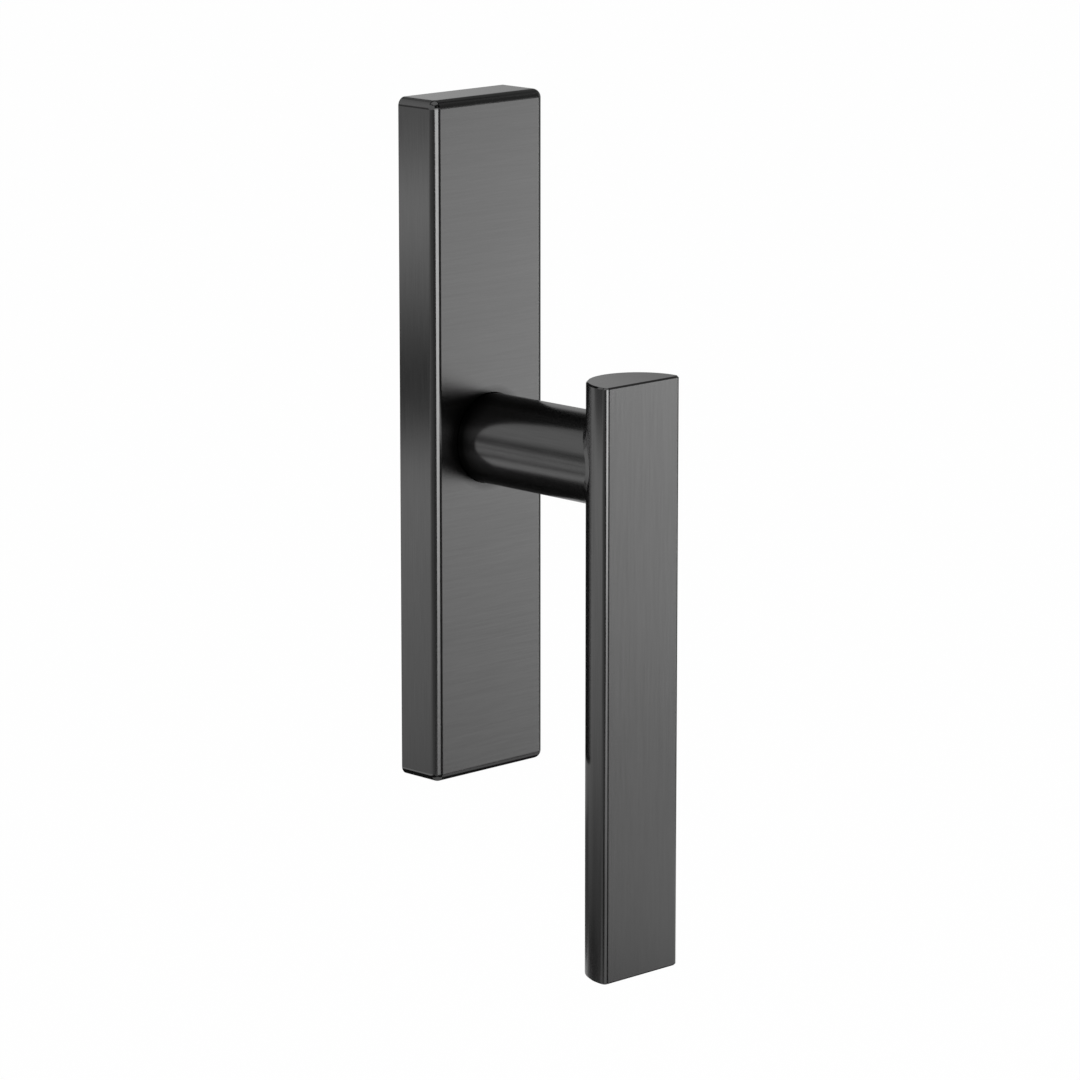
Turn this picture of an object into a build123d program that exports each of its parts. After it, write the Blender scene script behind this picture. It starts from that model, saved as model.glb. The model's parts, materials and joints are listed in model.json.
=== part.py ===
from build123d import *

import os
from math import acos, ceil, cos, pi, radians, sin, sqrt, tan

# Window handle for a two-rod lock. The lever turns a pinion between two racks.
# Each rack carries a drive pin: as the lever turns, the upper one moves down and the lower one up.
# Millimetres. +Z is up, -Y faces the room, and the origin is where the lever's axis meets the sash.
# A depth is a distance in front of the sash, along -Y.

# Cover plate
plate_width = 35.0
plate_height = 160.0
plate_depth = 12.0
plate_edge_radius = 2.0
plate_front_wall = 2.0
plate_side_wall = 1.8
tray_corner_chamfer = 0.8

# Lever: a bar with a flat front and a round back, on a round neck
grip_width = 24.0
grip_side_depth = 1.5
grip_length = 139.0
grip_overhang = 19.6
grip_projection = 50.0
grip_edge_radius = 1.2
grip_end_chamfer = 0.4
neck_inset = 1.4
neck_root_chamfer = 0.8
socket_depth = 24.0
lever_turn = 90.0

# Spindle, its ring, and the grub screw under the neck
spindle_side = 7.0
spindle_setback = 0.3
spindle_end_chamfer = 0.6
ring_thickness = 0.6
ring_recess = 1.4
ring_groove_depth = 0.9
ring_mouth = 3.9
grub_radius = 2.5
grub_setback = 8.0
grub_recess = 0.8
grub_key_width = 2.5
grub_key_depth = 2.5

# Pinion and racks
pinion_teeth = 14
pressure_angle = radians(25)
addendum_ratio = 1.0
dedendum_ratio = 1.25
tooth_backlash = 0.15
leading_teeth = 2
hub_wall = 1.5
hub_setback = 0.2
rack_spine = 1.725
rack_head_height = 14.0
rack_corner_chamfer = 2.0
drive_pin_radius = 3.0
drive_pin_shoulder = 0.4
drive_pin_reach = 9.0
drive_pin_chamfer = 0.5

# Housing, rear plate and bearings
housing_side_wall = 1.2
pocket_corner_chamfer = 0.8
rear_plate_thickness = 1.5
bush_depth = 2.0
bush_wall = 1.75
journal_land = 1.4
washer_width = 2.1
washer_thickness = 0.5
friction_ring_thickness = 0.8
rack_end_clearance = 1.0

# Screws
fixing_inset = 12.2
fixing_land = 8.0
fixing_thread_radius = 2.5
fixing_shank_radius = 2.2
fixing_head_radius = 4.8
fixing_head_recess = 0.2
fixing_projection = 12.0
fixing_key_width = 3.0
fixing_key_depth = 2.0
rear_screw_inset = 4.1
rear_screw_land = 5.0
rear_screw_radius = 1.5
rear_screw_head_radius = 2.7
rear_screw_length = 6.0
rear_screw_key_width = 2.0
rear_screw_key_depth = 1.0

# Clips that hold the cover on the housing's two ends
clip_width = 12.0
clip_thickness = 0.4
clip_span = 7.0
clip_rise = 1.4
clip_recess = 0.3
clip_gap = 1.0

# Clearances
running_clearance = 0.05
axial_clearance = 0.05
slide_clearance = 0.2
cover_clearance = 0.2
neck_hole_clearance = 0.15
loose_clearance = 0.3
press_clearance = 0.02
seat_clearance = 0.1
screw_clearance = 0.3
socket_clearance = 0.05

# Depths, from the sash to the front of the grip
housing_front = plate_depth - plate_front_wall
bush_rear = housing_front - bush_depth
pocket_floor = bush_rear - journal_land
gear_rear = rear_plate_thickness + washer_thickness + 2 * axial_clearance
gear_front = pocket_floor - friction_ring_thickness - 2 * axial_clearance
rack_rear = rear_plate_thickness + slide_clearance
rack_front = pocket_floor - slide_clearance
ring_seat = hub_setback + ring_recess
neck_end = bush_rear + loose_clearance
spindle_front = neck_end + socket_depth - seat_clearance
grub_depth = plate_depth + grub_setback
grip_front = plate_depth + grip_projection
grip_round_centre = grip_front - grip_side_depth

# Widths and heights
inner_width = plate_width - 2 * plate_side_wall
inner_height = plate_height - 2 * plate_side_wall
housing_width = inner_width - 2 * cover_clearance
housing_height = inner_height - 2 * clip_gap
pocket_half_width = housing_width / 2 - housing_side_wall
fixing_height = housing_height / 2 - fixing_inset
pocket_half_height = fixing_height - fixing_land
drive_pin_height = pocket_half_height - rack_end_clearance - rack_head_height / 2
rear_screw_x = housing_width / 2 - rear_screw_inset
rear_screw_height = pocket_half_height + rear_screw_land
rear_screw_places = [(-rear_screw_x, rear_screw_height), (rear_screw_x, -rear_screw_height)]
grip_bottom = grip_overhang - grip_length

# Round sizes along the lever's axis
neck_radius = grip_width / 2 - neck_inset
neck_hole_radius = neck_radius + neck_hole_clearance
bush_bore = neck_radius + running_clearance
bush_radius = bush_bore + bush_wall
socket_side = spindle_side + 2 * socket_clearance
hub_radius = socket_side / sqrt(2) + hub_wall
ring_bore = spindle_side / 2 - ring_groove_depth
ring_radius = hub_radius - hub_wall
washer_bore = hub_radius + seat_clearance
washer_radius = washer_bore + washer_width

# Tooth sizes: the racks fill the pocket's width, which sets the module
rack_back = pocket_half_width - slide_clearance
tooth_module = (rack_back - rack_spine) / (pinion_teeth / 2 + dedendum_ratio)
tooth_pitch = pi * tooth_module
pitch_radius = tooth_module * pinion_teeth / 2
base_radius = pitch_radius * cos(pressure_angle)
tip_radius = pitch_radius + addendum_ratio * tooth_module
root_radius = pitch_radius - dedendum_ratio * tooth_module
rack_tip = pitch_radius - addendum_ratio * tooth_module
rack_root = pitch_radius + dedendum_ratio * tooth_module
stroke = pitch_radius * radians(lever_turn)
trailing_teeth = ceil(stroke / tooth_pitch) + 1


def at_depth(depth):
    """A sketch plane at this depth that faces the room, with X to the right and Z up."""
    return Plane.XZ.offset(depth)


def round_bar(radius, rear, front, mode=Mode.ADD):
    """A cylinder on the lever's axis between two depths, added to the current part or cut from it."""
    with Locations(at_depth(rear)):
        Cylinder(radius, front - rear, align=(Align.CENTER, Align.CENTER, Align.MIN), mode=mode)


def tooth_point(radius, side):
    """A point on a pinion tooth's involute flank. The tooth points along +X, and side is 1 or -1."""
    pressure_here = acos(min(1.0, base_radius / radius))
    rolled = tan(pressure_angle) - pressure_angle - tan(pressure_here) + pressure_here
    angle = side * (pi / (2 * pinion_teeth) + rolled)
    return (radius * cos(angle), radius * sin(angle))


def tooth_foot(side):
    """Where a pinion tooth's radial foot starts, a quarter module inside the root circle."""
    x, z = tooth_point(base_radius, side)
    inward = (root_radius - tooth_module / 4) / base_radius
    return (x * inward, z * inward)


# Cover plate: a shallow tray with rounded front edges, a hole for the neck and a snap groove at each end
with BuildPart() as cover_plate:
    with BuildSketch(at_depth(0)):
        Rectangle(plate_width, plate_height)
    extrude(amount=plate_depth)
    rounded = edges().filter_by(Axis.Y) + faces().sort_by(Axis.Y)[0].edges()
    fillet(rounded, radius=plate_edge_radius)
    with BuildSketch(at_depth(0)):
        Rectangle(inner_width, inner_height)
        chamfer(vertices(), length=tray_corner_chamfer)
    extrude(amount=housing_front, mode=Mode.SUBTRACT)
    round_bar(neck_hole_radius, housing_front, plate_depth, mode=Mode.SUBTRACT)
    clip_depth = (rear_plate_thickness + housing_front) / 2
    clip_bite = clip_rise + clip_thickness - clip_recess - clip_gap
    clip_radius = (clip_span**2 / 4 + clip_rise**2) / (2 * clip_rise)
    groove_width = 2 * sqrt(2 * clip_radius * clip_bite) + 2 * loose_clearance
    groove_height = inner_height + 2 * (clip_bite + seat_clearance)
    with BuildSketch(at_depth(clip_depth - groove_width / 2)):
        Rectangle(clip_width + 2 * loose_clearance, groove_height)
    extrude(amount=groove_width, mode=Mode.SUBTRACT)

# Lever: the bar's section runs upwards, the neck runs back into the plate, and both are one forging
with BuildPart() as lever:
    with BuildSketch(Plane.XY.offset(grip_bottom)):
        with BuildLine():
            front = Line((-grip_width / 2, -grip_front), (grip_width / 2, -grip_front))
            right_side = Line(front @ 1, (grip_width / 2, -grip_round_centre))
            back = ThreePointArc(
                right_side @ 1,
                (0, -grip_round_centre + grip_width / 2),
                (-grip_width / 2, -grip_round_centre),
            )
            Line(back @ 1, front @ 0)
        make_face()
        fillet(vertices().group_by(Axis.Y)[0], radius=min(grip_edge_radius, 0.9 * grip_side_depth))
    extrude(amount=grip_length)
    chamfer(faces().filter_by(Axis.Z).edges(), length=grip_end_chamfer)
    round_bar(neck_radius, neck_end, grip_round_centre)
    chamfer(edges(Select.NEW), length=neck_root_chamfer)
    with BuildSketch(at_depth(neck_end)):
        Rectangle(socket_side, socket_side)
    extrude(amount=socket_depth, mode=Mode.SUBTRACT)
    with BuildSketch(Plane.XY.offset(-neck_radius)):
        with Locations((0, -grub_depth)):
            Circle(grub_radius + press_clearance)
    extrude(amount=neck_radius, mode=Mode.SUBTRACT)

# Spindle: a square bar whose turned rear end has a groove for the retaining ring
with BuildPart() as spindle:
    with BuildSketch(at_depth(ring_seat)):
        Rectangle(spindle_side, spindle_side)
    extrude(amount=spindle_front - ring_seat)
    chamfer(faces().sort_by(Axis.Y)[0].edges(), length=spindle_end_chamfer)
    round_bar(ring_bore, spindle_setback, ring_seat)
    round_bar(
        spindle_side / 2 - axial_clearance,
        spindle_setback,
        ring_seat - ring_thickness - 2 * axial_clearance,
    )

# Retaining ring: an open ring, slid into the groove from above
with BuildPart() as retaining_ring:
    with BuildSketch(at_depth(ring_seat - axial_clearance - ring_thickness)):
        Circle(ring_radius - loose_clearance)
        Circle(ring_bore + press_clearance, mode=Mode.SUBTRACT)
        with Locations((0, -ring_radius / 2)):
            Rectangle(ring_mouth, ring_radius, mode=Mode.SUBTRACT)
    extrude(amount=ring_thickness)

# Grub screw: screwed up through the neck against the spindle, with a hexagon socket
with BuildPart() as grub_screw:
    with BuildSketch(Plane.XY.offset(-spindle_side / 2)):
        with Locations((0, -grub_depth)):
            Circle(grub_radius)
    extrude(amount=-(neck_radius - grub_recess - spindle_side / 2))
    with BuildSketch(Plane.XY.offset(-(neck_radius - grub_recess))):
        with Locations((0, -grub_depth)):
            RegularPolygon(grub_key_width / 2, 6, major_radius=False)
    extrude(amount=grub_key_depth, mode=Mode.SUBTRACT)

# One pinion tooth, whose flanks follow the involute on a radial foot
with BuildSketch() as pinion_tooth:
    with BuildLine():
        flank_radii = [base_radius, pitch_radius, tip_radius]
        upper_flank = ThreePointArc(*[tooth_point(radius, 1) for radius in flank_radii])
        lower_flank = ThreePointArc(*[tooth_point(radius, -1) for radius in flank_radii])
        ThreePointArc(upper_flank @ 1, (tip_radius, 0), lower_flank @ 1)
        Polyline(upper_flank @ 0, tooth_foot(1), tooth_foot(-1), lower_flank @ 0)
    make_face()

# Pinion: the toothed wheel between two hubs, with the spindle's square hole and a recess for the ring
with BuildPart() as pinion:
    with BuildSketch(at_depth(gear_rear)):
        Circle(root_radius)
        with PolarLocations(0, pinion_teeth):
            add(pinion_tooth.sketch)
    extrude(amount=gear_front - gear_rear)
    round_bar(hub_radius, hub_setback, bush_rear - axial_clearance)
    round_bar(ring_radius, hub_setback, ring_seat, mode=Mode.SUBTRACT)
    with BuildSketch(at_depth(ring_seat)):
        Rectangle(socket_side, socket_side)
    extrude(amount=bush_rear - ring_seat, mode=Mode.SUBTRACT)

# One rack tooth on the pitch line, with its tip towards +X
with BuildSketch() as rack_tooth:
    pitch_half = tooth_pitch / 4 - tooth_backlash / 2
    tip_half = pitch_half - addendum_ratio * tooth_module * tan(pressure_angle)
    root_half = pitch_half + dedendum_ratio * tooth_module * tan(pressure_angle)
    with BuildLine():
        Polyline(
            (pitch_radius - rack_root, -root_half),
            (pitch_radius - rack_tip, -tip_half),
            (pitch_radius - rack_tip, tip_half),
            (pitch_radius - rack_root, root_half),
            close=True,
        )
    make_face()

# Upper rack: toothed on the pinion's left, with a head across the pocket that carries the drive pin
with BuildPart() as upper_rack:
    head_bottom = drive_pin_height - rack_head_height / 2
    head_top = drive_pin_height + rack_head_height / 2
    head_edge = rack_tip - loose_clearance
    rack_end = -leading_teeth * tooth_pitch
    tooth_heights = [(step + 0.5) * tooth_pitch for step in range(-leading_teeth, trailing_teeth)]
    with BuildSketch(at_depth(rack_rear)):
        with BuildLine():
            Polyline(
                (-rack_back, rack_end),
                (-rack_root, rack_end),
                (-rack_root, head_bottom),
                (head_edge, head_bottom),
                (head_edge, head_top),
                (-rack_back, head_top),
                close=True,
            )
        make_face()
        chamfer(vertices().sort_by_distance((-rack_root, head_bottom))[0], length=rack_corner_chamfer)
        with Locations((0, drive_pin_height)):
            Circle(drive_pin_radius - drive_pin_shoulder + press_clearance, mode=Mode.SUBTRACT)
    extrude(amount=rack_front - rack_rear)
    with BuildSketch(at_depth(gear_rear)):
        with Locations(*[(-pitch_radius, height) for height in tooth_heights]):
            add(rack_tooth.sketch)
    extrude(amount=gear_front - gear_rear)

# Upper drive pin: pressed into the rack's head and reaching back past the sash face
with BuildPart() as upper_drive_pin:
    with BuildSketch(at_depth(0)):
        with Locations((0, drive_pin_height)):
            Circle(drive_pin_radius - drive_pin_shoulder)
    extrude(amount=rack_front)
    with BuildSketch(at_depth(0)):
        with Locations((0, drive_pin_height)):
            Circle(drive_pin_radius)
    extrude(amount=-drive_pin_reach)
    chamfer(faces().sort_by(Axis.Y)[-1].edges(), length=drive_pin_chamfer)

# Lower rack and pin: the upper ones turned half round the lever's axis
with BuildPart() as lower_rack:
    add(upper_rack.part, rotation=(0, 180, 0))

with BuildPart() as lower_drive_pin:
    add(upper_drive_pin.part, rotation=(0, 180, 0))

# Guide bush: a ring in the housing's front that the neck turns in
with BuildPart() as guide_bush:
    round_bar(bush_radius, bush_rear, housing_front - axial_clearance)
    round_bar(bush_bore, bush_rear, housing_front, mode=Mode.SUBTRACT)

# Thrust washer between the pinion and the rear plate
with BuildPart() as thrust_washer:
    washer_rear = rear_plate_thickness + axial_clearance
    round_bar(washer_radius, washer_rear, washer_rear + washer_thickness)
    round_bar(washer_bore, washer_rear, gear_rear, mode=Mode.SUBTRACT)

# Friction ring between the pinion and the housing, whose drag holds the lever where it is left
with BuildPart() as friction_ring:
    ring_rear = gear_front + axial_clearance
    round_bar(washer_radius, ring_rear, ring_rear + friction_ring_thickness)
    round_bar(washer_bore, ring_rear, pocket_floor, mode=Mode.SUBTRACT)

# Housing: a cast tray, open to the rear, with the movement's pocket, the bush's seat and the screw holes
with BuildPart() as housing:
    with BuildSketch(at_depth(rear_plate_thickness)):
        Rectangle(housing_width, housing_height)
    extrude(amount=housing_front - rear_plate_thickness)
    with BuildSketch(at_depth(rear_plate_thickness)):
        Rectangle(2 * pocket_half_width, 2 * pocket_half_height)
        chamfer(vertices(), length=pocket_corner_chamfer)
    extrude(amount=pocket_floor - rear_plate_thickness, mode=Mode.SUBTRACT)
    round_bar(bush_radius + press_clearance, bush_rear, housing_front, mode=Mode.SUBTRACT)
    round_bar(hub_radius + running_clearance, pocket_floor, bush_rear, mode=Mode.SUBTRACT)
    with Locations(at_depth(housing_front)):
        with GridLocations(0, 2 * fixing_height, 1, 2):
            CounterSinkHole(
                fixing_thread_radius + screw_clearance,
                fixing_head_radius + fixing_head_recess + seat_clearance,
                counter_sink_angle=90,
            )
    with BuildSketch(at_depth(rear_plate_thickness)):
        with Locations(*rear_screw_places):
            Circle(rear_screw_radius + press_clearance)
    extrude(amount=rear_screw_length - rear_plate_thickness + seat_clearance, mode=Mode.SUBTRACT)
    with BuildSketch(at_depth(clip_depth - clip_span / 2 - seat_clearance)):
        with GridLocations(0, housing_height, 1, 2):
            Rectangle(clip_width + 2 * seat_clearance, 2 * clip_recess)
    extrude(amount=clip_span + 2 * seat_clearance, mode=Mode.SUBTRACT)

# Rear plate: closes the housing, with a slot for each drive pin
with BuildPart() as rear_plate:
    with BuildSketch(at_depth(0)):
        Rectangle(housing_width, housing_height)
        Circle(hub_radius + running_clearance, mode=Mode.SUBTRACT)
        with GridLocations(0, 2 * fixing_height, 1, 2):
            Circle(fixing_thread_radius + screw_clearance, mode=Mode.SUBTRACT)
        with GridLocations(0, 2 * drive_pin_height - stroke, 1, 2):
            SlotCenterToCenter(
                stroke,
                2 * (drive_pin_radius + screw_clearance),
                rotation=90,
                mode=Mode.SUBTRACT,
            )
    extrude(amount=rear_plate_thickness)
    with Locations(*[Plane((x, 0, z), x_dir=(1, 0, 0), z_dir=(0, 1, 0)) for x, z in rear_screw_places]):
        CounterSinkHole(
            rear_screw_radius + seat_clearance,
            rear_screw_head_radius + seat_clearance,
            counter_sink_angle=90,
        )

# Rear plate screws: two countersunk screws into the housing
with BuildPart() as rear_plate_screws:
    rear_screws = Locations(*rear_screw_places)
    with BuildSketch(at_depth(0)):
        with rear_screws:
            Circle(rear_screw_radius)
    extrude(amount=rear_screw_length)
    with BuildSketch(at_depth(0)):
        with rear_screws:
            Circle(rear_screw_head_radius)
    extrude(amount=rear_screw_head_radius - rear_screw_radius, taper=45)
    with BuildSketch(at_depth(0)):
        with rear_screws:
            RegularPolygon(rear_screw_key_width / 2, 6, major_radius=False)
    extrude(amount=rear_screw_key_depth, mode=Mode.SUBTRACT)

# Fixing screws: two countersunk screws under the cover, reaching back into the sash
with BuildPart() as fixing_screws:
    fixings = GridLocations(0, 2 * fixing_height, 1, 2)
    fixing_head_front = housing_front - fixing_head_recess
    fixing_head_height = fixing_head_radius - fixing_shank_radius
    with BuildSketch(at_depth(-fixing_projection)):
        with fixings:
            Circle(fixing_thread_radius)
    extrude(amount=fixing_projection)
    with BuildSketch(at_depth(0)):
        with fixings:
            Circle(fixing_shank_radius)
    extrude(amount=fixing_head_front)
    with BuildSketch(at_depth(fixing_head_front)):
        with fixings:
            Circle(fixing_head_radius)
    extrude(amount=-fixing_head_height, taper=45)
    with BuildSketch(at_depth(fixing_head_front)):
        with fixings:
            RegularPolygon(fixing_key_width / 2, 6, major_radius=False)
    extrude(amount=-fixing_key_depth, mode=Mode.SUBTRACT)

# Cover clips: bowed leaves in the housing's end recesses, whose crowns snap into the cover's grooves
with BuildPart() as upper_cover_clip:
    seat_height = housing_height / 2 - clip_recess
    clip_rear = -(clip_depth - clip_span / 2)
    clip_front = -(clip_depth + clip_span / 2)
    with BuildSketch(Plane.YZ):
        with BuildLine():
            under = ThreePointArc(
                (clip_rear, seat_height),
                (-clip_depth, seat_height + clip_rise),
                (clip_front, seat_height),
            )
            front_end = Line(under @ 1, (clip_front, seat_height + clip_thickness))
            over = ThreePointArc(
                front_end @ 1,
                (-clip_depth, seat_height + clip_rise + clip_thickness),
                (clip_rear, seat_height + clip_thickness),
            )
            Line(over @ 1, under @ 0)
        make_face()
    extrude(amount=clip_width / 2, both=True)

with BuildPart() as lower_cover_clip:
    add(upper_cover_clip.part, rotation=(0, 180, 0))

pieces = {
    "cover_plate": cover_plate,
    "lever": lever,
    "spindle": spindle,
    "retaining_ring": retaining_ring,
    "grub_screw": grub_screw,
    "pinion": pinion,
    "upper_rack": upper_rack,
    "upper_drive_pin": upper_drive_pin,
    "lower_rack": lower_rack,
    "lower_drive_pin": lower_drive_pin,
    "guide_bush": guide_bush,
    "thrust_washer": thrust_washer,
    "friction_ring": friction_ring,
    "housing": housing,
    "rear_plate": rear_plate,
    "rear_plate_screws": rear_plate_screws,
    "fixing_screws": fixing_screws,
    "upper_cover_clip": upper_cover_clip,
    "lower_cover_clip": lower_cover_clip,
}
os.makedirs("parts", exist_ok=True)
for name, piece in pieces.items():
    piece.part.label = name
    export_step(piece.part, f"parts/{name}.step")
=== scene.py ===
import json
import math

import bmesh
import bpy
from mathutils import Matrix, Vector

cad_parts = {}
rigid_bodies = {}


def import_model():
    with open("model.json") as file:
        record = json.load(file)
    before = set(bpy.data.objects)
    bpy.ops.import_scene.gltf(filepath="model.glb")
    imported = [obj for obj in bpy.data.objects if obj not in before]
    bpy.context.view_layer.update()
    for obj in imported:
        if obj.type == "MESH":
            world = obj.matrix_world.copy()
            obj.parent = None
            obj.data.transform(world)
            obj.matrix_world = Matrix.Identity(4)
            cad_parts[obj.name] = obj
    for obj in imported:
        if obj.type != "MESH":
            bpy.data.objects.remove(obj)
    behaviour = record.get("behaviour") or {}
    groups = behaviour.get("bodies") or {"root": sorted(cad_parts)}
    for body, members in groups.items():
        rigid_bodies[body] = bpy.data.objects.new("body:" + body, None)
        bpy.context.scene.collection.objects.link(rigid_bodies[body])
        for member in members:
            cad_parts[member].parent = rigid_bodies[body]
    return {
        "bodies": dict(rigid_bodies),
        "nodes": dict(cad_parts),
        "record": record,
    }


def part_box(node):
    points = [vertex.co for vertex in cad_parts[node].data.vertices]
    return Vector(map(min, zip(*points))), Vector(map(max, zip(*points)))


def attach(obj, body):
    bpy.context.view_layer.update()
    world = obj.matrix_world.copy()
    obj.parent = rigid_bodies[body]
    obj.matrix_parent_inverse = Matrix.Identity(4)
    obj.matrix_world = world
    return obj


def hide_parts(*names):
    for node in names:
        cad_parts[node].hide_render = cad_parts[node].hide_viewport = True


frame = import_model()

scene = bpy.context.scene
nodes_by_name = frame["nodes"]
kept = set(nodes_by_name.values()) | set(frame["bodies"].values())
for stray in [o for o in bpy.data.objects if o not in kept]:
    bpy.data.objects.remove(stray)
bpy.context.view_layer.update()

# Lengths are in metres. The frame is the CAD's: y runs into the sash and z is up.
FLOOR_Z = -0.45
PLATE_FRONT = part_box("cover_plate")[0][1]
LEVER_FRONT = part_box("lever")[0][1]
BAR_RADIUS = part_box("lever")[1][0]
BAR_AXIS = LEVER_FRONT + 0.0015
NECK_RADIUS = 0.0106


# Materials

class Shader:
    """One material and short ways to add its nodes."""

    def __init__(self, name):
        self.material = bpy.data.materials.new(name)
        self.material.use_nodes = True
        self.tree = self.material.node_tree
        self.principled = self.tree.nodes["Principled BSDF"]

    def node(self, kind, **inputs):
        """A new node. An input is given by its name, or by its number as in _0."""
        made = self.tree.nodes.new(kind)
        for key, value in inputs.items():
            self.put(made, key, value)
        return made

    def put(self, node, key, value):
        """Links a socket to an input, or sets a constant on it."""
        socket = node.inputs[int(key[1:]) if key[0] == "_" else key]
        if isinstance(value, bpy.types.NodeSocket):
            self.tree.links.new(value, socket)
        else:
            socket.default_value = value

    def calc(self, operation, first, second=0.0):
        made = self.node("ShaderNodeMath", _0=first, _1=second)
        made.operation = operation
        return made.outputs[0]

    def span(self, value, low, high, to_low, to_high):
        """Maps low to to_low and high to to_high, and stops at both ends."""
        made = self.node("ShaderNodeMapRange", _0=value, _1=low, _2=high, _3=to_low, _4=to_high)
        return made.outputs[0]

    def blend(self, factor, first, second):
        """One number where the factor is 0 and another where it is 1."""
        return self.node("ShaderNodeMix", _0=factor, _2=first, _3=second).outputs[0]

    def turn(self, factor, first, second):
        """One direction where the factor is 0 and another where it is 1."""
        made = self.node("ShaderNodeMix")
        made.data_type = "VECTOR"
        for socket, value in zip((0, 4, 5), (factor, first, second)):
            self.put(made, f"_{socket}", value)
        return made.outputs[1]

    def noise(self, place, scale, detail=2.0, roughness=0.5):
        """Noise stretched by a scale for each axis, in features a metre."""
        mapped = self.node("ShaderNodeMapping", Vector=place, Scale=scale).outputs[0]
        made = self.node(
            "ShaderNodeTexNoise", Vector=mapped, Scale=1.0, Detail=detail, Roughness=roughness
        )
        return made.outputs["Fac"]

    def even_noise(self, place, scale, detail):
        return self.noise(place, (scale, scale, scale), detail)

    def tangent_round(self, axis):
        """The direction round an axis, which is the way a finish brushed along it blurs."""
        made = self.node("ShaderNodeTangent")
        made.direction_type = "RADIAL"
        made.axis = axis
        return made.outputs[0]

    def reach(self, place, scale, offset=(0.0, 0.0, 0.0)):
        """The distance from an axis of the object: the scale is 0 along that axis."""
        mapped = self.node("ShaderNodeMapping", Vector=place, Location=offset, Scale=scale)
        made = self.node("ShaderNodeVectorMath", _0=mapped.outputs[0])
        made.operation = "LENGTH"
        return made.outputs["Value"]

    def grey(self, value, tint=(1.0, 1.0, 1.0)):
        made = self.node("ShaderNodeCombineColor")
        for index, share in enumerate(tint):
            self.put(made, f"_{index}", self.calc("MULTIPLY", value, share))
        return made.outputs[0]

    def surface(self, color, roughness, height, distance, strength, metallic=1.0):
        """Fills in the material: colour, roughness and a bump from a height."""
        self.put(self.principled, "Base Color", color)
        self.put(self.principled, "Roughness", roughness)
        self.principled.inputs["Metallic"].default_value = metallic
        bump = self.node("ShaderNodeBump", Height=height, Strength=strength, Distance=distance)
        self.put(self.principled, "Normal", bump.outputs[0])
        return self.material


# The values between which a noise is spread out
NARROW = (0.25, 0.75)
WIDE = (0.2, 0.8)

ANTHRACITE = 0.20
ANISOTROPY = 0.8
LINES_ACROSS = 3200.0
LINES_ALONG = 90.0

# How much of a normal has to point straight out for a face to count as flat
FLAT = (0.985, 0.999)
ROUGH_EDGE = 0.13
ROUGH_PLATE = 0.23
ROUGH_LEVER = 0.20
ROUGH_NECK = 0.17

# Painted shade where the neck enters the plate: the colour of the neck's root and of the plate
# round its hole is darkened in place of occlusion and the neck's dark reflection
PLATE_PAINTED_SHADE = 0.6
PLATE_PAINTED_SHADE_WIDTH = 0.002
NECK_PAINTED_SHADE = 0.08
NECK_PAINTED_SHADE_START = PLATE_FRONT - 0.0065
NECK_PAINTED_SHADE_END = PLATE_FRONT - 0.0015

ZINC_TINT = (0.99, 1.0, 1.02)
NYLON_TINT = (1.0, 0.985, 0.93)


def brush_lines(shader, place, along):
    """Fine and broad streaks along one axis, each from 0 to 1."""
    fine = [LINES_ACROSS] * 3
    broad = [LINES_ACROSS / 6] * 3
    fine[along] = LINES_ALONG
    broad[along] = LINES_ALONG / 4
    return shader.noise(place, fine, 4.0, 0.6), shader.noise(place, broad, 2.0)


def anthracite(shader, place, fine, broad, rough, blur, painted_shade):
    """Dark plated metal with brush lines that blur what it reflects, and painted shade that
    darkens its colour at the neck.
    """
    cloud = shader.even_noise(place, 30.0, 2.0)
    level = shader.calc("ADD", shader.span(fine, *NARROW, -0.020, 0.020), ANTHRACITE)
    level = shader.calc("ADD", level, shader.span(broad, *NARROW, -0.004, 0.004))
    level = shader.calc("ADD", level, shader.span(cloud, *WIDE, -0.004, 0.004))
    level = shader.calc("MULTIPLY", level, painted_shade)
    roughness = shader.calc("ADD", shader.span(fine, *NARROW, -0.02, 0.02), rough)
    shader.principled.inputs["Anisotropic"].default_value = ANISOTROPY
    shader.put(shader.principled, "Tangent", blur)
    return shader.surface(shader.grey(level), roughness, fine, distance=0.00001, strength=0.10)


def plate_metal(name):
    """Brushed across the plate's front and along its sides."""
    shader = Shader(name)
    coords = shader.node("ShaderNodeTexCoord")
    place = coords.outputs["Object"]
    normal = shader.node("ShaderNodeSeparateXYZ", Vector=coords.outputs["Normal"])
    side = shader.span(shader.calc("ABSOLUTE", normal.outputs[0]), 0.7, 0.95, 0.0, 1.0)
    flat = shader.span(shader.calc("ABSOLUTE", normal.outputs[1]), *FLAT, 0.0, 1.0)
    # Painted shade: the plate's colour is darkened in a narrow ring round the neck's hole
    from_neck = shader.reach(place, (1.0, 0.0, 1.0))
    painted_shade_end = NECK_RADIUS + PLATE_PAINTED_SHADE_WIDTH
    fine_x, broad_x = brush_lines(shader, place, 0)
    fine_z, broad_z = brush_lines(shader, place, 2)
    return anthracite(
        shader,
        place,
        fine=shader.blend(side, fine_x, fine_z),
        broad=shader.blend(side, broad_x, broad_z),
        rough=shader.blend(flat, ROUGH_EDGE, ROUGH_PLATE),
        blur=shader.turn(side, shader.tangent_round("X"), shader.tangent_round("Z")),
        painted_shade=shader.span(from_neck, NECK_RADIUS, painted_shade_end, PLATE_PAINTED_SHADE, 1.0),
    )


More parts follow.
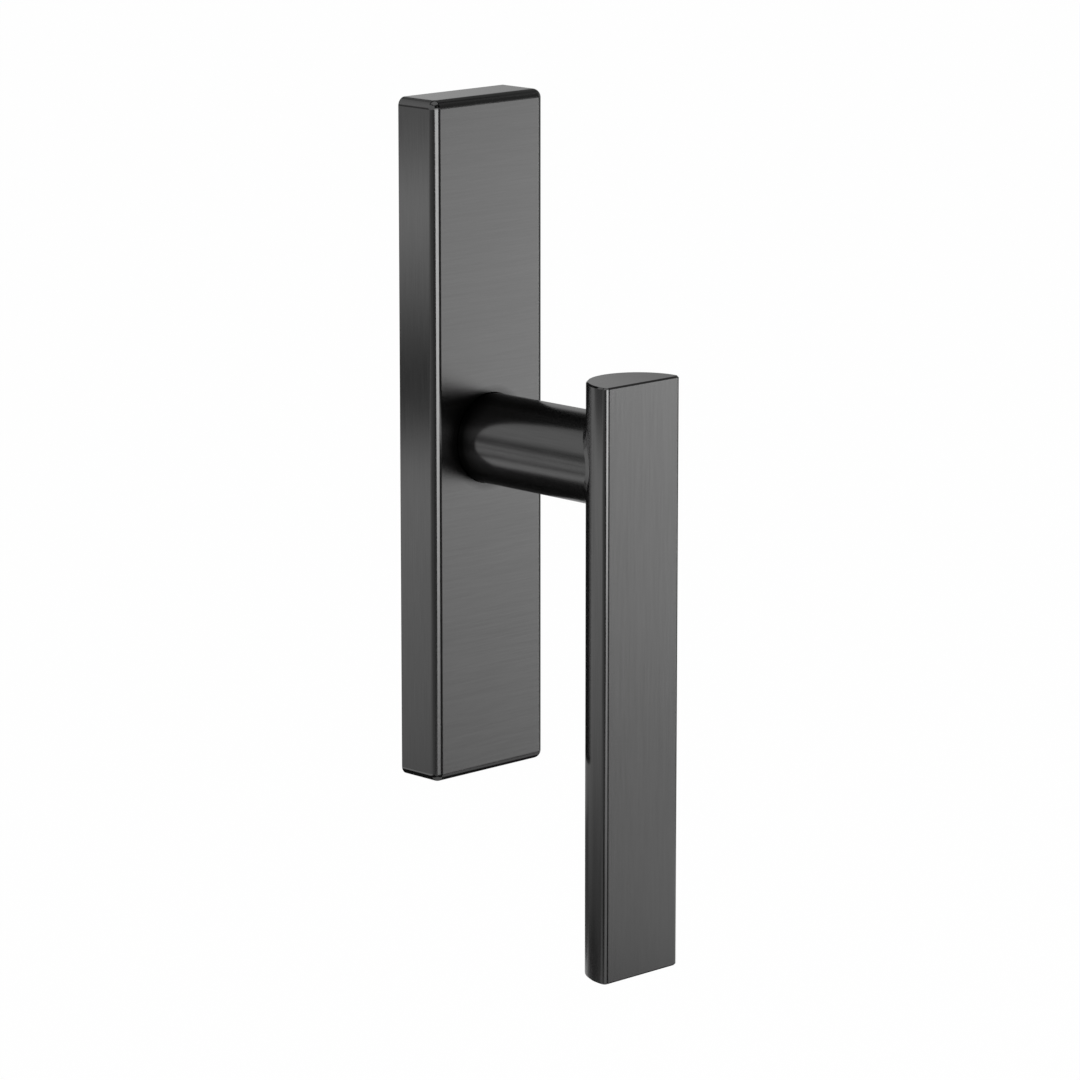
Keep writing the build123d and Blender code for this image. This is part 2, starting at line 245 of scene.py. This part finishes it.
def lever_metal(name):
    """Brushed along the bar, across its ends and along the neck."""
    shader = Shader(name)
    coords = shader.node("ShaderNodeTexCoord")
    place = coords.outputs["Object"]
    depth = shader.node("ShaderNodeSeparateXYZ", Vector=place).outputs[1]
    normal = shader.node("ShaderNodeSeparateXYZ", Vector=coords.outputs["Normal"])
    end = shader.span(shader.calc("ABSOLUTE", normal.outputs[2]), 0.9, 0.97, 0.0, 1.0)
    flat = shader.span(shader.calc("ABSOLUTE", normal.outputs[1]), *FLAT, 0.0, 1.0)
    from_bar = shader.reach(place, (1.0, 1.0, 0.0), (0.0, -BAR_AXIS, 0.0))
    neck = shader.span(from_bar, BAR_RADIUS + 0.00003, BAR_RADIUS + 0.0001, 0.0, 1.0)
    fine_x, broad_x = brush_lines(shader, place, 0)
    fine_y, broad_y = brush_lines(shader, place, 1)
    fine_z, broad_z = brush_lines(shader, place, 2)
    return anthracite(
        shader,
        place,
        fine=shader.blend(neck, shader.blend(end, fine_z, fine_x), fine_y),
        broad=shader.blend(neck, shader.blend(end, broad_z, broad_x), broad_y),
        rough=shader.blend(neck, shader.blend(flat, ROUGH_EDGE, ROUGH_LEVER), ROUGH_NECK),
        blur=shader.turn(neck, shader.tangent_round("Z"), shader.tangent_round("Y")),
        # Painted shade: the neck's colour darkens towards the plate, nearly to black at its root
        painted_shade=shader.span(depth, NECK_PAINTED_SHADE_START, NECK_PAINTED_SHADE_END, 1.0, NECK_PAINTED_SHADE),
    )


def zinc_plated(name):
    """Bright zinc plating with a soft crystalline mottle."""
    shader = Shader(name)
    place = shader.node("ShaderNodeTexCoord").outputs["Object"]
    grain = shader.even_noise(place, 900.0, 3.0)
    cloud = shader.even_noise(place, 140.0, 2.0)
    mottle = shader.span(cloud, *NARROW, 0.52, 0.62)
    level = shader.calc("ADD", mottle, shader.span(grain, *WIDE, -0.03, 0.03))
    roughness = shader.span(cloud, *NARROW, 0.26, 0.38)
    tone = shader.grey(level, ZINC_TINT)
    return shader.surface(tone, roughness, grain, distance=0.00002, strength=0.25, metallic=0.7)


def cast_zinc(name):
    """As-cast zinc alloy: dull grey with a fine pebbled skin."""
    shader = Shader(name)
    place = shader.node("ShaderNodeTexCoord").outputs["Object"]
    pebble = shader.even_noise(place, 1500.0, 4.0)
    cloud = shader.even_noise(place, 90.0, 3.0)
    mottle = shader.span(cloud, *WIDE, 0.36, 0.46)
    level = shader.calc("ADD", mottle, shader.span(pebble, *WIDE, -0.04, 0.04))
    roughness = shader.span(cloud, *WIDE, 0.48, 0.60)
    tone = shader.grey(level, ZINC_TINT)
    return shader.surface(tone, roughness, pebble, distance=0.00005, strength=0.35, metallic=0.5)


def nylon(name):
    """Moulded natural nylon, slightly waxy."""
    shader = Shader(name)
    place = shader.node("ShaderNodeTexCoord").outputs["Object"]
    flow = shader.even_noise(place, 250.0, 2.0)
    skin = shader.even_noise(place, 2500.0, 2.0)
    tone = shader.grey(shader.span(flow, *WIDE, 0.70, 0.78), NYLON_TINT)
    roughness = shader.span(flow, *WIDE, 0.40, 0.52)
    return shader.surface(tone, roughness, skin, distance=0.00002, strength=0.2, metallic=0.0)


finishes = {
    "anthracite_plate": plate_metal("anthracite_plate"),
    "anthracite_lever": lever_metal("anthracite_lever"),
    "zinc_plated_steel": zinc_plated("zinc_plated_steel_fine"),
    "cast_zinc": cast_zinc("cast_zinc_fine"),
    "nylon": nylon("nylon_fine"),
}
own_finish = {"cover_plate": "anthracite_plate", "lever": "anthracite_lever"}
for part in frame["record"]["subparts"]:
    materials = nodes_by_name[part["node"]].data.materials
    materials.clear()
    materials.append(finishes[own_finish.get(part["node"], part["material_slot"])])


# The fixing screws with their threads, in place of the plain shanks

SCREW_SIDES = 36
SHANK_RADIUS = 0.0022
HEAD_RADIUS = 0.0048
KEY_WIDTH = 0.003
KEY_DEPTH = 0.002
THREAD_PITCH = 0.0008
THREAD_ROOT = 0.00202
THREAD_CREST = 0.0025
TIP_INSET = 0.0002

# Where a turn's crest and root start and end, in shares of the pitch, with 1 for the crest
THREAD_PROFILE = ((0.0, 1.0), (0.125, 1.0), (0.4375, 0.0), (0.6875, 0.0))

WELD_DISTANCE = 1e-7
SMOOTH_ANGLE = 0.5


def screw_point(made, height, depth, radius, angle):
    """A vertex at a depth and an angle round a screw's axis."""
    return made.verts.new((radius * math.cos(angle), depth, height + radius * math.sin(angle)))


def screw_ring(made, height, depth, radius):
    """One loop round a screw at a depth. The radius is a number, or a function of the angle."""
    loop = []
    for side in range(SCREW_SIDES):
        angle = 2 * math.pi * side / SCREW_SIDES
        r = radius(angle) if callable(radius) else radius
        loop.append(screw_point(made, height, depth, r, angle))
    return loop


def join_loops(made, first, second):
    for side in range(SCREW_SIDES):
        after = (side + 1) % SCREW_SIDES
        made.faces.new((first[side], first[after], second[after], second[side]))


def key_radius(angle):
    """The distance from a hexagon socket's axis to its side at an angle."""
    return KEY_WIDTH / 2 / math.cos(angle % (math.pi / 3) - math.pi / 6)


def thread_radius(share, depth, tip):
    """The radius for a share of the profile, run out at the tip and where the shank starts."""
    radius = THREAD_ROOT + (THREAD_CREST - THREAD_ROOT) * share
    radius = min(radius, THREAD_ROOT - TIP_INSET + (tip - depth))
    return SHANK_RADIUS + (radius - SHANK_RADIUS) * min(depth / (THREAD_PITCH / 2), 1.0)


def add_thread(made, height, tip):
    """The thread, from the sash face to the tip."""
    rows = []
    for turn in range(-1, math.ceil(tip / THREAD_PITCH) + 1):
        for start, share in THREAD_PROFILE:
            row = []
            for side in range(SCREW_SIDES + 1):
                wanted = (turn + start + side / SCREW_SIDES) * THREAD_PITCH
                depth = min(max(wanted, 0.0), tip)
                angle = 2 * math.pi * side / SCREW_SIDES
                r = thread_radius(share, depth, tip)
                row.append(screw_point(made, height, depth, r, angle))
            rows.append(row)
    for first, second in zip(rows, rows[1:]):
        for side in range(SCREW_SIDES):
            made.faces.new((first[side], first[side + 1], second[side + 1], second[side]))
    made.faces.new(screw_ring(made, height, tip, thread_radius(0.0, tip, tip)))


def add_screw(made, height, tip, head_front):
    """A countersunk screw with a hexagon socket: thread, shank and head."""
    add_thread(made, height, tip)
    loops = [
        screw_ring(made, height, 0.0, SHANK_RADIUS),
        screw_ring(made, height, head_front + HEAD_RADIUS - SHANK_RADIUS, SHANK_RADIUS),
        screw_ring(made, height, head_front, HEAD_RADIUS),
        screw_ring(made, height, head_front, key_radius),
        screw_ring(made, height, head_front + KEY_DEPTH, key_radius),
    ]
    for first, second in zip(loops, loops[1:]):
        join_loops(made, first, second)
    made.faces.new(loops[-1])


def threaded_screws():
    """Both screws as one mesh, inside the outline of the plain solid that it replaces."""
    low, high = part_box("fixing_screws")
    made = bmesh.new()
    for height in (high[2] - HEAD_RADIUS, low[2] + HEAD_RADIUS):
        add_screw(made, height, high[1], low[1])
    bmesh.ops.remove_doubles(made, verts=made.verts, dist=WELD_DISTANCE)
    bmesh.ops.recalc_face_normals(made, faces=made.faces)
    for face in made.faces:
        face.smooth = True
    for edge in made.edges:
        edge.smooth = edge.is_manifold and edge.calc_face_angle() < SMOOTH_ANGLE
    mesh = bpy.data.meshes.new("fixing_screws_threaded")
    made.to_mesh(mesh)
    made.free()
    result = bpy.data.objects.new("fixing_screws_threaded", mesh)
    scene.collection.objects.link(result)
    mesh.materials.append(finishes["zinc_plated_steel"])
    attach(result, "plate")
    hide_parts("fixing_screws")


threaded_screws()


# Floor and backdrop

FLOOR_SIZE = 60.0
FLOOR_GREY = (0.86, 0.86, 0.86, 1.0)
FLOOR_GLOW = 0.97
AMBIENT = 0.85
WHITE = (1.0, 1.0, 1.0, 1.0)


def seen_white(tree):
    """1 for rays that see the background: from the camera, in a reflection or through glass."""
    path = tree.nodes.new("ShaderNodeLightPath")
    total = path.outputs["Is Camera Ray"]
    for name in ("Is Glossy Ray", "Is Transmission Ray"):
        most = tree.nodes.new("ShaderNodeMath")
        most.operation = "MAXIMUM"
        tree.links.new(total, most.inputs[0])
        tree.links.new(path.outputs[name], most.inputs[1])
        total = most.outputs[0]
    return total


def panel(name, width, height):
    """A flat rectangle on the XY plane, for the stage."""
    mesh = bpy.data.meshes.new(name)
    made = bmesh.new()
    x, y = width / 2, height / 2
    corners = [(-x, -y), (x, -y), (x, y), (-x, y)]
    made.faces.new([made.verts.new((*corner, 0.0)) for corner in corners])
    made.to_mesh(mesh)
    made.free()
    result = bpy.data.objects.new(name, mesh)
    scene.collection.objects.link(result)
    return result


def show(paint, shader_output):
    """Makes this the material's surface."""
    paint.tree.links.new(shader_output, paint.tree.nodes["Material Output"].inputs["Surface"])


def floor_material():
    """Pale matt paint that shines white where the background is seen."""
    paint = Shader("floor_paint")
    matt = paint.principled
    matt.inputs["Base Color"].default_value = FLOOR_GREY
    matt.inputs["Roughness"].default_value = 0.9
    matt.inputs["Specular IOR Level"].default_value = 0.1
    shine = paint.node("ShaderNodeEmission", Color=WHITE, Strength=1.0)
    share = paint.calc("MULTIPLY", seen_white(paint.tree), FLOOR_GLOW)
    mixed = paint.node("ShaderNodeMixShader", _0=share, _1=matt.outputs[0], _2=shine.outputs[0])
    show(paint, mixed.outputs[0])
    return paint.material


floor = panel("floor", FLOOR_SIZE, FLOOR_SIZE)
floor.location = (0.0, 0.0, FLOOR_Z)
floor.data.materials.append(floor_material())

world = bpy.data.worlds.new("studio")
world.use_nodes = True
scene.world = world
sky = world.node_tree
backdrop = sky.nodes["Background"]
backdrop.inputs["Color"].default_value = WHITE
fill = sky.nodes.new("ShaderNodeMapRange")
sky.links.new(seen_white(sky), fill.inputs[0])
fill.inputs[3].default_value = AMBIENT
fill.inputs[4].default_value = 1.0
sky.links.new(fill.outputs[0], backdrop.inputs["Strength"])


# Light: one lamp, and cards that the metal reflects. Bearings are in degrees from +X towards +Y.

CENTRE = Vector((0.0, -0.03, -0.02))
FOOT = -0.44
LAYER = 0.001
TOP = 1.6
RING = 1.3


def aim(thing, target):
    thing.rotation_mode = "QUATERNION"
    thing.rotation_quaternion = (Vector(target) - thing.location).to_track_quat("-Z", "Y")


def place_at(bearing, elevation, distance):
    """A place seen from the middle of the handle."""
    b, e = math.radians(bearing), math.radians(elevation)
    way = Vector((math.cos(b) * math.cos(e), math.sin(b) * math.cos(e), math.sin(e)))
    return CENTRE + way * distance


def card_paint(name, stops, rise=0.0):
    """Paint that shines up the card as the stops say: pairs of a height and a level.

    The level also rises along the card, by this share a metre.
    """
    paint = Shader(name)
    low, high = stops[0][0], stops[-1][0]
    place = paint.node("ShaderNodeTexCoord").outputs["Object"]
    spot = paint.node("ShaderNodeSeparateXYZ", Vector=place)
    up = paint.span(spot.outputs[1], (low - high) / 2, (high - low) / 2, 0.0, 1.0)
    ramp = paint.node("ShaderNodeValToRGB", Fac=up)
    most = max(level for _, level in stops)
    marks = ramp.color_ramp.elements
    while len(marks) < len(stops):
        marks.new(1.0)
    for mark, (at, level) in zip(marks, stops):
        mark.position = (at - low) / (high - low)
        mark.color = (level / most,) * 3 + (1.0,)
    strength = paint.calc("MULTIPLY_ADD", spot.outputs[0], rise * most)
    strength.node.inputs[2].default_value = most
    shine = paint.node("ShaderNodeEmission", Color=ramp.outputs[0], Strength=strength)
    show(paint, shine.outputs[0])
    return paint.material


def card(name, place, width, height, material):
    """A card beside the set that only shows in reflections, as a photographer's flag does."""
    made = panel(name, width, height)
    made.location = place
    made.data.materials.append(material)
    made.visible_camera = False
    made.visible_diffuse = False
    made.visible_transmission = False
    made.visible_shadow = False
    return made


def ring_card(name, first, last, stops, distance=RING, rise=0.0):
    """An upright card that fills the bearings first to last, with a level at each height."""
    low, high = stops[0][0], stops[-1][0]
    place = place_at((first + last) / 2, 0, distance)
    place.z = (low + high) / 2
    width = 2 * distance * math.tan(math.radians((last - first) / 2))
    made = card(name, place, width, high - low, card_paint(name + "_paint", stops, rise))
    aim(made, (CENTRE.x, CENTRE.y, place.z))


def flat_card(name, bearing, start, end, width, height, level):
    """A level card at a height, from start to end along a bearing."""
    turn = math.radians(bearing)
    along = Vector((math.cos(turn), math.sin(turn), 0.0))
    middle = CENTRE + along * (start + end) / 2
    middle.z = height
    paint = card_paint(name + "_paint", [(0.0, level), (1.0, level)])
    made = card(name, middle, width, end - start, paint)
    made.rotation_mode = "XYZ"
    made.rotation_euler = (0.0, 0.0, turn - math.pi / 2)


def softbox(name, place, size, power):
    """A lamp for the matt pieces and the floor. The metal is lit by the cards and the backdrop."""
    lamp = bpy.data.lights.new(name, "AREA")
    lamp.shape = "RECTANGLE"
    lamp.size = size
    lamp.size_y = size
    lamp.energy = power
    made = bpy.data.objects.new(name, lamp)
    scene.collection.objects.link(made)
    made.location = place
    aim(made, CENTRE)
    made.visible_camera = False
    made.visible_glossy = False


# Cards on the floor, in layers: pale ones lowest, then dark ones, and three small pale ones on top
flat_card("apron", -46, -1.4, 1.4, 2.8, FOOT - 2 * LAYER, 0.25)
flat_card("apron_right", 10, 0.3, 1.5, 2.2, FOOT - LAYER, 0.5)
flat_card("apron_window", -46, 0.6, 1.0, 1.0, FOOT, 0.04)
flat_card("apron_camera", -135, 0.8, 1.1, 0.8, FOOT - LAYER, 0.45)
flat_card("apron_left", 115, 0.98, 1.4, 0.9, FOOT, 0.05)
flat_card("apron_far", 70, 1.05, 1.45, 1.0, FOOT, 0.08)
flat_card("apron_edge", 200, 1.05, 1.35, 0.85, FOOT, 0.05)
flat_card("apron_front", -70, 1.0, 1.35, 0.6, FOOT, 0.03)
flat_card("flag_below", -46, -0.62, 0.62, 1.24, FOOT, 0.02)
flat_card("apron_under", 0, -0.25, 0.25, 0.5, FOOT + 2 * LAYER, 0.3)
flat_card("apron_step", -25, 0.36, 0.70, 0.5, FOOT + LAYER, 0.30)
flat_card("apron_back", 127, 0.62, 0.94, 0.8, FOOT + 2 * LAYER, 0.55)

# Overhead: a pale card under a dark one that reaches out to the walls
flat_card("flag_above", 0, -1.8, 1.8, 3.6, 1.62, 0.01)
flat_card("sky", 0, -0.9, 0.9, 1.8, 1.60, 0.45)

# Walls round the handle: what its faces and rounded edges mirror
ring_card(
    "flag_front",
    -84,
    -55,
    [(FOOT, 0.06), (0.0, 0.06), (0.15, 0.25), (0.3, 0.25), (0.5, 0.01), (TOP, 0.01)],
)
ring_card("flag_right", -31, -12, [(FOOT, 0.05), (0.1, 0.05), (0.5, 0.12), (TOP, 0.12)])
ring_card(
    "wall_right",
    -12,
    54,
    [(FOOT, 0.36), (0.2, 0.36), (0.6, 0.2), (1.0, 0.12), (TOP, 0.12)],
)
ring_card(
    "wall_top",
    39,
    60,
    [(0.03, 0.53), (0.5, 0.53), (0.7, 0.03), (TOP, 0.02)],
    distance=1.28,
    rise=2.75,
)
ring_card(
    "wall_far",
    54,
    88,
    [(FOOT, 0.2), (-0.38, 0.3), (0.5, 0.3), (0.7, 0.2), (1.3, 0.2), (TOP, 0.03)],
)
ring_card("wall_side", 166, 196, [(FOOT, 0.17), (-0.05, 0.17), (0.2, 0.4), (TOP, 0.4)])
ring_card("flag_left", 195, 226, [(FOOT, 0.11), (-0.05, 0.11), (0.2, 0.4), (TOP, 0.4)])
ring_card("flag_camera", 221, 235, [(-0.30, 0.01), (-0.06, 0.01)], distance=0.98)

# The window that both fronts mirror
ring_card(
    "window_right",
    -55,
    -31,
    [
        (FOOT, 0.40),
        (-0.40, 0.63),
        (-0.33, 0.71),
        (-0.30, 0.78),
        (-0.255, 1.0),
        (-0.19, 1.14),
        (-0.167, 1.15),
        (-0.14, 1.46),
        (-0.115, 1.54),
        (-0.08, 1.45),
        (-0.05, 1.30),
        (-0.02, 1.10),
        (0.06, 0.1),
        (TOP, 0.02),
    ],
    distance=1.0,
    rise=2.2,
)

# The strip that draws the light line down the plate's and the bar's left edge
ring_card(
    "strip_front",
    -134,
    -85,
    [
        (FOOT, 0.30),
        (-0.40, 0.42),
        (-0.325, 0.72),
        (-0.26, 1.15),
        (-0.185, 2.4),
        (-0.107, 2.2),
        (0.0, 1.8),
        (0.25, 0.8),
        (0.4, 0.03),
        (TOP, 0.01),
    ],
    distance=1.0,
)

# The walls that the left sides and the neck mirror
ring_card(
    "wall_back",
    87,
    113,
    [
        (FOOT, 0.10),
        (-0.40, 0.20),
        (-0.354, 0.35),
        (-0.30, 0.45),
        (0.9, 0.42),
        (1.2, 0.30),
        (1.5, 0.03),
    ],
    distance=1.1,
)
ring_card(
    "wall_left",
    111,
    149,
    [
        (FOOT, 0.10),
        (-0.40, 0.17),
        (-0.354, 0.33),
        (-0.324, 0.40),
        (-0.278, 0.45),
        (-0.215, 0.60),
        (-0.192, 0.12),
        (-0.172, 0.07),
        (-0.142, 0.34),
        (-0.098, 0.70),
        (-0.064, 0.28),
        (-0.045, 0.36),
        (0.0, 0.12),
        (0.16, 0.12),
        (0.28, 0.44),
        (0.9, 0.40),
        (1.4, 0.02),
    ],
    distance=1.08,
)
ring_card(
    "wall_left_edge",
    148,
    167,
    [(FOOT, 0.27), (-0.05, 0.27), (0.2, 0.4), (TOP, 0.4)],
    distance=1.28,
)
softbox("softbox_top", place_at(-60, 55, 2.0), size=1.2, power=12.0)


# Camera at the photograph's angle

CAMERA_PLACE = (-0.8179, -0.8666, 0.2283)
CAMERA_AIM = (0.00176, -0.02672, -0.0224)

lens = bpy.data.cameras.new("camera")
lens.sensor_width = 36.0
lens.lens = 172.56
lens.clip_start = 0.05
lens.clip_end = 100.0
camera = bpy.data.objects.new("camera", lens)
scene.collection.objects.link(camera)
camera.location = CAMERA_PLACE
aim(camera, CAMERA_AIM)
scene.camera = camera
scene.view_settings.view_transform = "Standard"
